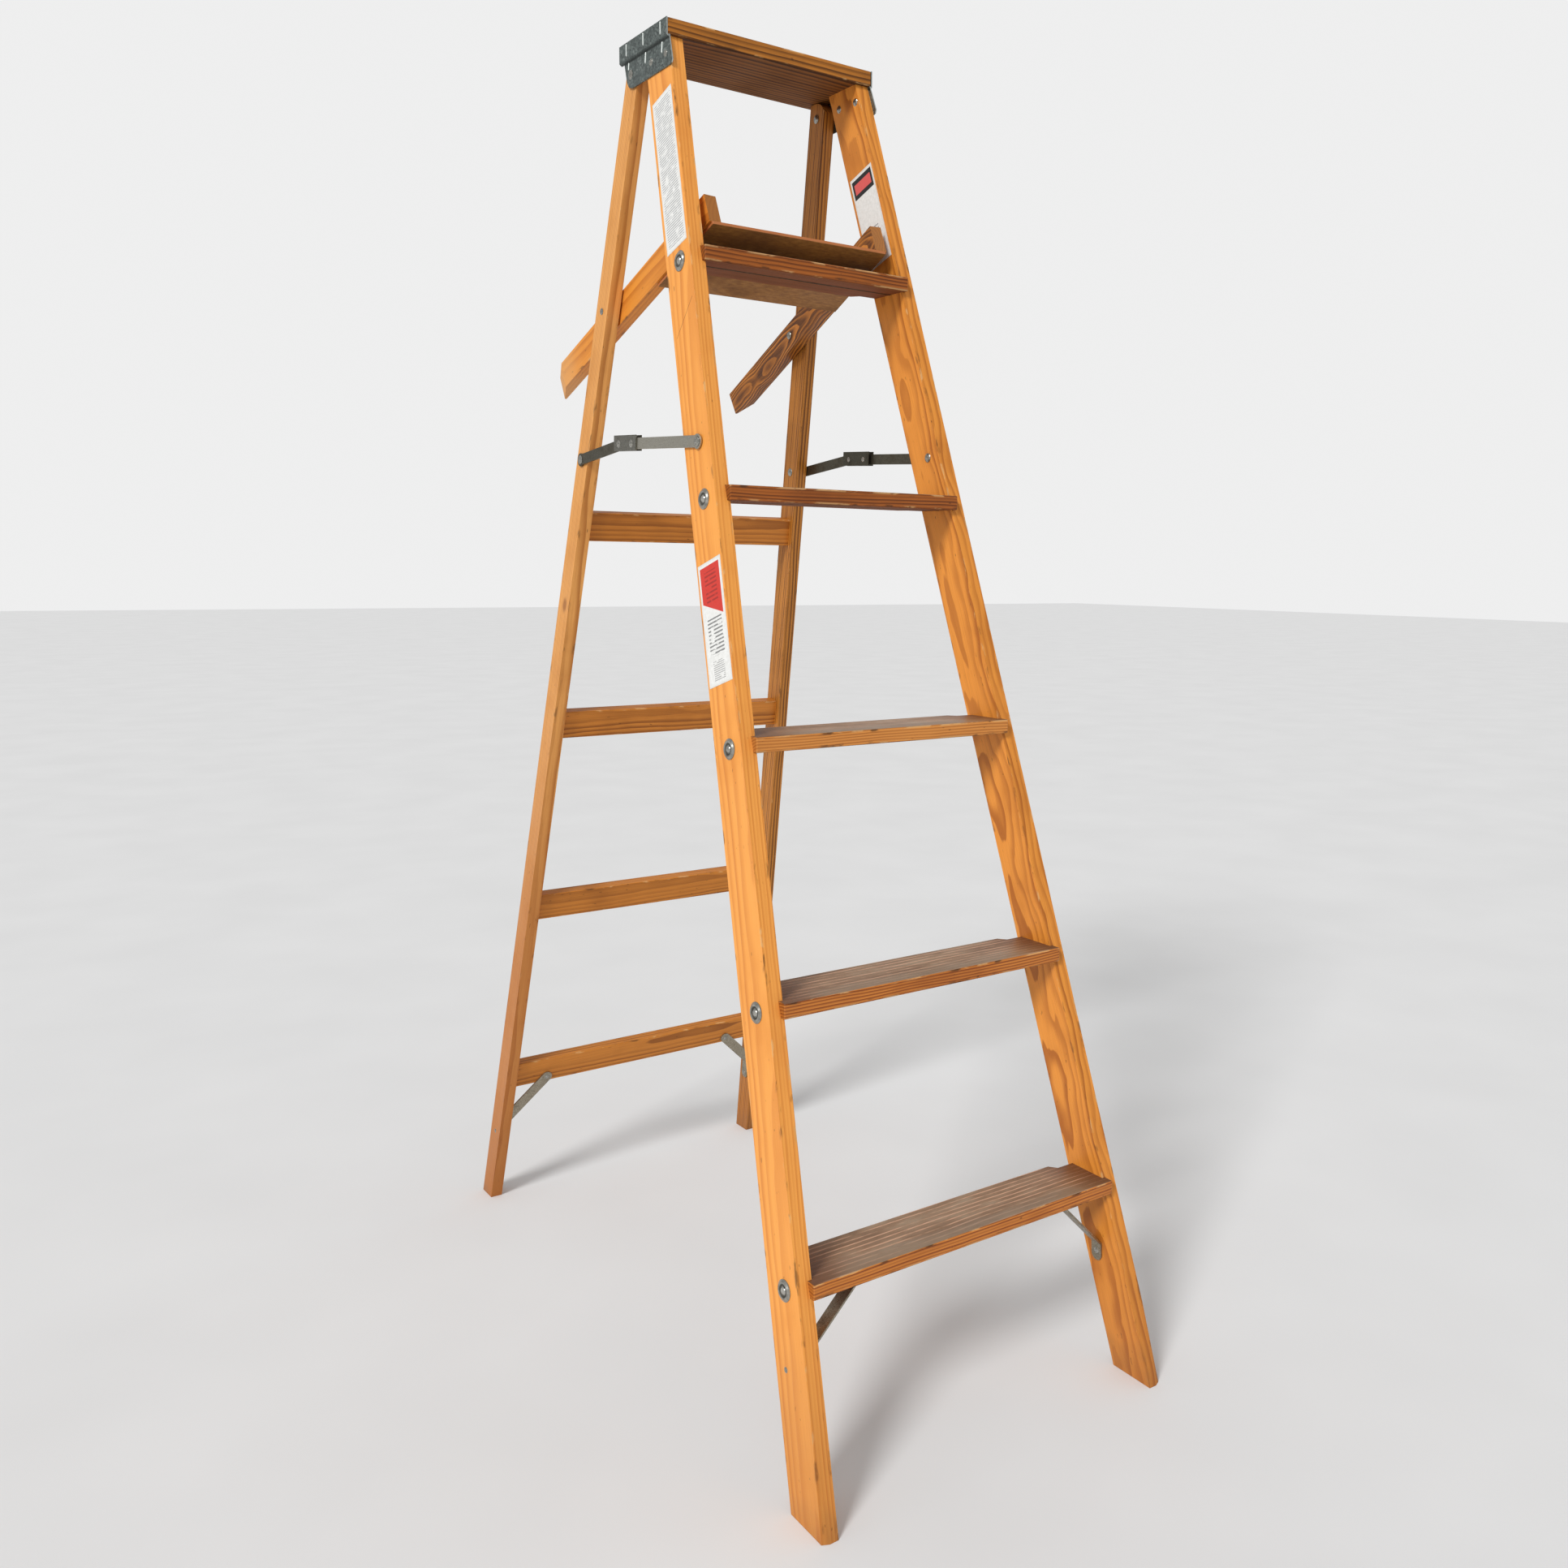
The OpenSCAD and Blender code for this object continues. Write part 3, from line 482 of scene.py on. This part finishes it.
def ruled(tree, u, v, pitch, low, high, half):
    """Broken horizontal rules between two heights, like a printed column seen from afar."""
    row = tree.math("FLOOR", tree.math("DIVIDE", u, pitch))
    across = tree.math("FRACT", tree.math("DIVIDE", tree.math("ADD", u, 1.0), pitch))
    bar = within(tree, across, 0.28, 0.72, 0.08)
    gaps = tree.noise(tree.join(tree.math("MULTIPLY", v, 80.0), tree.math("MULTIPLY", row, 9.7), 0.0),
                      1.0, 1.0)
    bar = tree.math("MULTIPLY", bar, tree.span(gaps, 0.36, 0.44))
    ragged = tree.noise(tree.join(tree.math("MULTIPLY", row, 3.3), 0.0, 0.0), 1.0, 0.0)
    reach = tree.math("MULTIPLY_ADD", ragged, -0.5 * half, half * LONGEST_RULE)
    bar = tree.math("MULTIPLY", bar, tree.math("LESS_THAN", tree.math("ABSOLUTE", v), reach))
    bar = tree.math("MULTIPLY", bar, within(tree, v, -half, half))
    return tree.math("MULTIPLY", bar, within(tree, u, low, high))


def upper_marks(tree, board, u, v, colour):
    """One column of fine rules."""
    top, side = board.half[0], board.half[1]
    rules = ruled(tree, u, v, 0.0032, -top + 0.006, top - 0.006, side - 0.004)
    return tree.mix(tree.math("MULTIPLY", rules, 0.7), colour, srgb(128, 130, 134))


def middle_marks(tree, board, u, v, colour):
    """A red block with a slanting foot and dark rules on it, and two sets of rules below."""
    top, side = board.half[0], board.half[1]
    slant = tree.math("MULTIPLY_ADD", v, 0.45, u)
    block = tree.math("MULTIPLY", tree.span(slant, 0.016, 0.0168), within(tree, u, -1.0, top - 0.005))
    block = tree.math("MULTIPLY", block, within(tree, v, -side + 0.004, side - 0.005))
    colour = tree.mix(block, colour, srgb(212, 50, 36))
    dark = ruled(tree, u, v, 0.0052, top - 0.050, top - 0.012, side * 0.5)
    colour = tree.mix(tree.math("MULTIPLY", dark, 0.6), colour, srgb(120, 20, 16))
    lines = ruled(tree, u, v, 0.0046, -0.040, 0.006, side - 0.010)
    colour = tree.mix(tree.math("MULTIPLY", lines, 0.75), colour, srgb(52, 52, 56))
    foot = ruled(tree, u, v, 0.0025, -top + 0.005, -0.046, side - 0.014)
    return tree.mix(tree.math("MULTIPLY", foot, 0.6), colour, srgb(96, 96, 98))


def inner_marks(tree, board, u, v, colour):
    """A black band with a red stripe in it, and rules below."""
    top, side = board.half[0], board.half[1]
    band = oblong(tree, u, v, top - 0.030, top - 0.004, -side + 0.003, side - 0.003)
    colour = tree.mix(band, colour, srgb(26, 24, 24))
    stripe = oblong(tree, u, v, top - 0.024, top - 0.010, -side + 0.007, side - 0.007)
    colour = tree.mix(stripe, colour, srgb(222, 92, 88))
    lines = ruled(tree, u, v, 0.0052, -top + 0.012, -0.014, side - 0.012)
    return tree.mix(tree.math("MULTIPLY", lines, 0.6), colour, srgb(70, 70, 72))


# ---------- putting materials on the CAD parts ----------

def paint(node, material):
    slots = NODES[node].data.materials
    slots.clear()
    slots.append(material)


# how near two points of a mesh are welded, in metres, and how flat a face is merged, in degrees
WELD_REACH = 1e-6
FLAT_ANGLE = 0.5


def ease(node, width, segments=2, angle=35):
    """Rounds a part's arrises a little, as planed and handled wood or pressed sheet is.

    The mesh is welded and its flat faces merged first, so that only true arrises are rounded."""
    part = NODES[node]
    for face in part.data.polygons:
        face.use_smooth = True
    weld = part.modifiers.new("weld", "WELD")
    weld.merge_threshold = WELD_REACH
    flat = part.modifiers.new("flat", "DECIMATE")
    flat.decimate_type = "DISSOLVE"
    flat.angle_limit = math.radians(FLAT_ANGLE)
    bevel = part.modifiers.new("ease", "BEVEL")
    bevel.width = width
    bevel.segments = segments
    bevel.limit_method = "ANGLE"
    bevel.angle_limit = math.radians(angle)
    bevel.use_clamp_overlap = True
    shade = part.modifiers.new("shade", "WEIGHTED_NORMAL")
    shade.keep_sharp = False
    shade.weight = 100


RAIL = Tone(early=(250, 170, 80), late=(212, 126, 48))
FIGURED = Tone(early=(238, 154, 62), late=(166, 90, 26))
REAR_PALE = Tone(early=(240, 172, 94), late=(176, 106, 42))
REAR = Tone(early=(206, 134, 54), late=(98, 54, 14))
RUNG = Tone(early=(212, 134, 52), late=(134, 74, 22))
# under: painted shade on the underside of the steps and the top board
STEP = Tone(early=(214, 132, 54), late=(134, 62, 18), under=(84, 44, 14))
STEP_PALE = Tone(early=(226, 150, 72), late=(164, 90, 32), under=(84, 44, 14))
STEP_DARK = Tone(early=(176, 98, 36), late=(88, 40, 10), under=(96, 50, 14))
TOP = Tone(early=(192, 120, 42), late=(76, 40, 8), under=(64, 34, 4))
ARM_LIGHT = Tone(early=(230, 148, 56), late=(184, 104, 34), end=(150, 96, 48), end_strength=0.8)
ARM_DARK = Tone(early=(80, 40, 8), late=(212, 132, 48), end=(172, 114, 62), end_strength=0.8)


def scuffed_rail(tree, board, u, v, colour, blotch):
    """A short slanting scratch high on the rail and dirt at the foot."""
    slant = tree.math("MULTIPLY_ADD", v, -0.75, u)
    scratch = tree.math("MULTIPLY", within(tree, slant, 0.5140, 0.5152, 0.0004),
                        within(tree, v, -0.022, 0.024))
    colour = tree.mix(tree.math("MULTIPLY", scratch, 0.7), colour, srgb(120, 72, 34))
    return foot_dirt(tree, board, u, v, colour, blotch)


def foot_dirt(tree, board, u, _, colour, blotch):
    """Ground-in dirt near the floor, fading out over the lowest third of a metre."""
    low = tree.math("MULTIPLY_ADD", blotch, 0.16, u)
    shade = tree.span(low, -board.half[0] + 0.36, -board.half[0] + 0.10)
    colour = tree.mix(tree.math("MULTIPLY", shade, 0.4), colour, srgb(158, 90, 34))
    dirt = tree.span(low, -board.half[0] + 0.13, -board.half[0] + 0.07)
    return tree.mix(tree.math("MULTIPLY", dirt, 0.4), colour, srgb(112, 76, 46))


def knotted_rail(tree, board, u, v, colour, blotch):
    """One small knot, darker wood towards the foot, and dirt at the foot."""
    knot_u, knot_v, knot_shape = 0.14, 0.003, 0.6
    du = tree.math("MULTIPLY", tree.math("SUBTRACT", u, knot_u), knot_shape)
    dv = tree.math("SUBTRACT", v, knot_v)
    colour = tree.mix(tree.span(tree.length(du, dv), 0.009, 0.003, 0.0, 0.6), colour, srgb(120, 58, 22))
    colour = tree.mix(tree.span(u, 0.1, -0.5, 0.0, 0.55), colour, srgb(160, 82, 26))
    return foot_dirt(tree, board, u, v, colour, blotch)


def worn_tail_and_painted_shade(tree, board, u, _, colour, blotch):
    """Varnish rubbed away towards the arm's tail, and painted shade on the inner face."""
    end = tree.span(tree.math("MULTIPLY_ADD", blotch, 0.08, u),
                    -board.half[0] + 0.16, -board.half[0] + 0.04)
    colour = tree.mix(tree.math("MULTIPLY", end, 0.7), colour, srgb(222, 168, 106))
    # painted shade: the face turned towards the ladder's middle is darkened
    inner = tree.span(tree.dot(tree.facing, -board.w), 0.5, 0.8)
    return tree.mix(tree.math("MULTIPLY", inner, 0.6), colour, srgb(96, 56, 22))


def timber(node, tone, seed, **look):
    """Paints one board."""
    paint(node, wood(node, tone, seed, **look))


# how far the arrises of each kind of board are rounded, in metres
ARRIS = 0.0014
TOP_ARRIS = 0.002
PANEL_ARRIS = 0.0007


def dress_wood():
    timber("front_rail_left", RAIL, 1.3, pith=(0.03, -0.09), spacing=0.0048, slope=0.006, wander=0.010,
           wear=0.5, contrast=0.7, extra=scuffed_rail)
    timber("front_rail_right", FIGURED, 4.1, pith=(-0.012, -0.050), spacing=0.0075, slope=0.010,
           wander=0.034, wear=0.5, contrast=0.8, wave=5.5, extra=foot_dirt)
    timber("rear_rail_left", REAR_PALE, 7.7, pith=(-0.06, 0.02), spacing=0.0034, slope=0.004,
           wander=0.008, wear=0.4, contrast=0.75, extra=knotted_rail)
    timber("rear_rail_right", REAR, 9.2, pith=(0.05, -0.03), spacing=0.0038, slope=0.005, wander=0.010,
           wear=0.3, contrast=0.95, extra=foot_dirt)
    timber("top_board", TOP, 2.6, pith=(0.10, -0.10), spacing=0.0060, slope=0.004, wander=0.010,
           wear=0.6, contrast=1.0)
    step_tones = (STEP, STEP, STEP_PALE, STEP_DARK, STEP_DARK)
    for k, tone in zip(STEPS, step_tones):
        timber(f"step_{k}", tone, 11.0 + 2.3 * k, pith=(0.02 + 0.012 * k, -0.05), spacing=0.0036,
               slope=0.003, wander=0.014, wear=1.0, contrast=0.95, dust=0.95)
    for k in RUNGS:
        timber(f"rear_rung_{k}", RUNG, 31.0 + 1.9 * k, pith=(0.012, -0.03), spacing=0.005,
               slope=0.008, wander=0.014, wear=0.7)
    timber("shelf_arm_left", ARM_LIGHT, 51.0, pith=(0.02, -0.06), spacing=0.0055, wander=0.012,
           wear=0.5, extra=worn_tail_and_painted_shade)
    timber("shelf_arm_right", ARM_DARK, 57.0, pith=(0.004, -0.022), spacing=0.0042, slope=0.03,
           wander=0.03, wear=0.3, contrast=1.0, wave=7.0)
    paint("shelf_panel", fibreboard("shelf_panel", 61.0))
    boards = ("front_rail", "rear_rail", "rear_rung", "step_", "shelf_arm")
    for node in NODES:
        if node.startswith(boards) and "brace" not in node:
            ease(node, ARRIS)
    ease("top_board", TOP_ARRIS, 3)
    ease("shelf_panel", PANEL_ARRIS)


# how far the edges of cut and pressed sheet are rounded, in metres
SHEET_EDGE = 0.0004


def dress_metal():
    sheet = galvanised("galvanised_sheet")
    rivet = plated("rivet_steel", (196, 194, 186), (120, 118, 110), rough=0.24, dirt=0.35)
    pale_link = plated("spreader_steel", (196, 192, 180), (150, 146, 134), rough=0.36)
    dark_link = plated("spreader_steel_dull", (112, 108, 94), (74, 70, 58), rough=0.40, rust=0.2)
    block = plated("lock_steel", (150, 148, 138), (98, 96, 88), rough=0.34)
    dark_block = plated("lock_steel_dull", (104, 100, 86), (64, 62, 52), rough=0.36)
    brace = plated("brace_steel", (186, 178, 160), (118, 110, 94), rough=0.36, rust=0.25)
    for side in SIDES:
        paint("top_bracket_" + side, sheet)
        paint("step_brace_" + side, brace)
        paint("rear_brace_" + side, brace)
        paint("spreader_front_link_" + side, pale_link if side == "left" else dark_link)
        paint("spreader_rear_link_" + side, dark_link)
        paint("lock_plate_outer_" + side, block if side == "left" else dark_block)
        paint("lock_plate_inner_" + side, dark_block)
        paint("lock_rivets_outer_" + side, rivet)
        paint("lock_rivets_inner_" + side, rivet)
        for node in ("step_brace_", "rear_brace_", "spreader_front_link_", "spreader_rear_link_",
                     "lock_plate_outer_", "lock_plate_inner_"):
            ease(node + side, SHEET_EDGE)
        ease("top_bracket_" + side, SHEET_EDGE, angle=28)
    for node in ("bracket_rivets", "fold_rivets", "step_brace_screws", "rear_brace_screws",
                 "spreader_front_rivets", "spreader_rear_rivets", "shelf_rivets"):
        paint(node, rivet)
    paint("rod_washers", washer_steel())
    for k in STEPS:
        paint(f"truss_rod_{k}", truss_steel(f"truss_rod_{k}"))


def dress_labels():
    marks = {"label_upper_left": upper_marks, "label_middle_left": middle_marks,
             "label_inner_right": inner_marks}
    for node, layout in marks.items():
        paint(node, printed(node, layout))


# ---------- camera, floor and light ----------

IMAGE_SIDE = 1932
SENSOR = 36
FOCAL = 1691.5 / IMAGE_SIDE  # as a share of the image's side
CENTRE_OFFSET = (-0.0537, -0.0082)
CAMERA_AT = Vector((-1.0107, -1.6113, 1.035))
TURN, TILT, ROLL = (math.radians(a) for a in (-35.95, -8.43, 0.69))


def make_camera():
    cam = bpy.data.cameras.new("camera")
    cam.sensor_width = SENSOR
    cam.lens = FOCAL * SENSOR
    cam.shift_x, cam.shift_y = CENTRE_OFFSET
    cam.clip_start, cam.clip_end = 0.05, 100
    obj = bpy.data.objects.new("camera", cam)
    bpy.context.scene.collection.objects.link(obj)
    obj.location = CAMERA_AT
    look = Vector((-math.sin(TURN) * math.cos(TILT), math.cos(TURN) * math.cos(TILT), math.sin(TILT)))
    obj.rotation_mode = "QUATERNION"
    obj.rotation_quaternion = look.to_track_quat("-Z", "Y") @ Quaternion((0, 0, 1), ROLL)
    bpy.context.scene.camera = obj


FLOOR_HALF = 30
FLOOR_DARK, FLOOR_PALE = 0.80, 0.83
# the floor lies this far under the feet, so that the faces don't coincide
FLOOR_GAP = 0.0002


def make_floor():
    h = FLOOR_HALF
    mesh = bpy.data.meshes.new("floor")
    mesh.from_pydata([(-h, -h, 0), (h, -h, 0), (h, h, 0), (-h, h, 0)], [], [(0, 1, 2, 3)])
    floor = bpy.data.objects.new("floor", mesh)
    bpy.context.scene.collection.objects.link(floor)
    tree = Tree("floor")
    dark, pale = ((grey, grey, grey, 1) for grey in (FLOOR_DARK, FLOOR_PALE))
    colour = tree.ramp(tree.noise(tree.place, 3.0, 2.0), [(0.3, dark), (0.7, pale)])
    mesh.materials.append(tree.finish(colour, 0.9))
    floor.location.z = CAD_BOX[0][2] - FLOOR_GAP


WHITE = (1, 1, 1, 1)
WORLD_LIGHT = 0.5
BACKDROP = 0.86
KEY_ENERGY = 2.1
KEY_ANGLE = math.radians(16)
KEY_TOWARDS = Vector((3.2, 1.5, -2.6))


def make_light():
    """A white world, brighter as seen than as light, and one broad key light from the front left."""
    world = bpy.data.worlds.new("studio")
    bpy.context.scene.world = world
    world.use_nodes = True
    nodes, join = world.node_tree.nodes, world.node_tree.links.new
    ambient = nodes["Background"]
    backdrop = nodes.new("ShaderNodeBackground")
    for background, strength in ((ambient, WORLD_LIGHT), (backdrop, BACKDROP)):
        background.inputs["Color"].default_value = WHITE
        background.inputs["Strength"].default_value = strength
    seen = nodes.new("ShaderNodeLightPath")
    either = nodes.new("ShaderNodeMixShader")
    join(seen.outputs["Is Camera Ray"], either.inputs[0])
    join(ambient.outputs[0], either.inputs[1])
    join(backdrop.outputs[0], either.inputs[2])
    join(either.outputs[0], nodes["World Output"].inputs["Surface"])
    key = bpy.data.lights.new("key", "SUN")
    key.energy = KEY_ENERGY
    key.angle = KEY_ANGLE
    lamp = bpy.data.objects.new("key", key)
    bpy.context.scene.collection.objects.link(lamp)
    lamp.rotation_mode = "QUATERNION"
    lamp.rotation_quaternion = KEY_TOWARDS.to_track_quat("-Z", "Y")
    # the default view transform would grey the orange wood
    bpy.context.scene.view_settings.view_transform = "Standard"


make_camera()
make_floor()
make_light()
dress_wood()
dress_metal()
dress_labels()
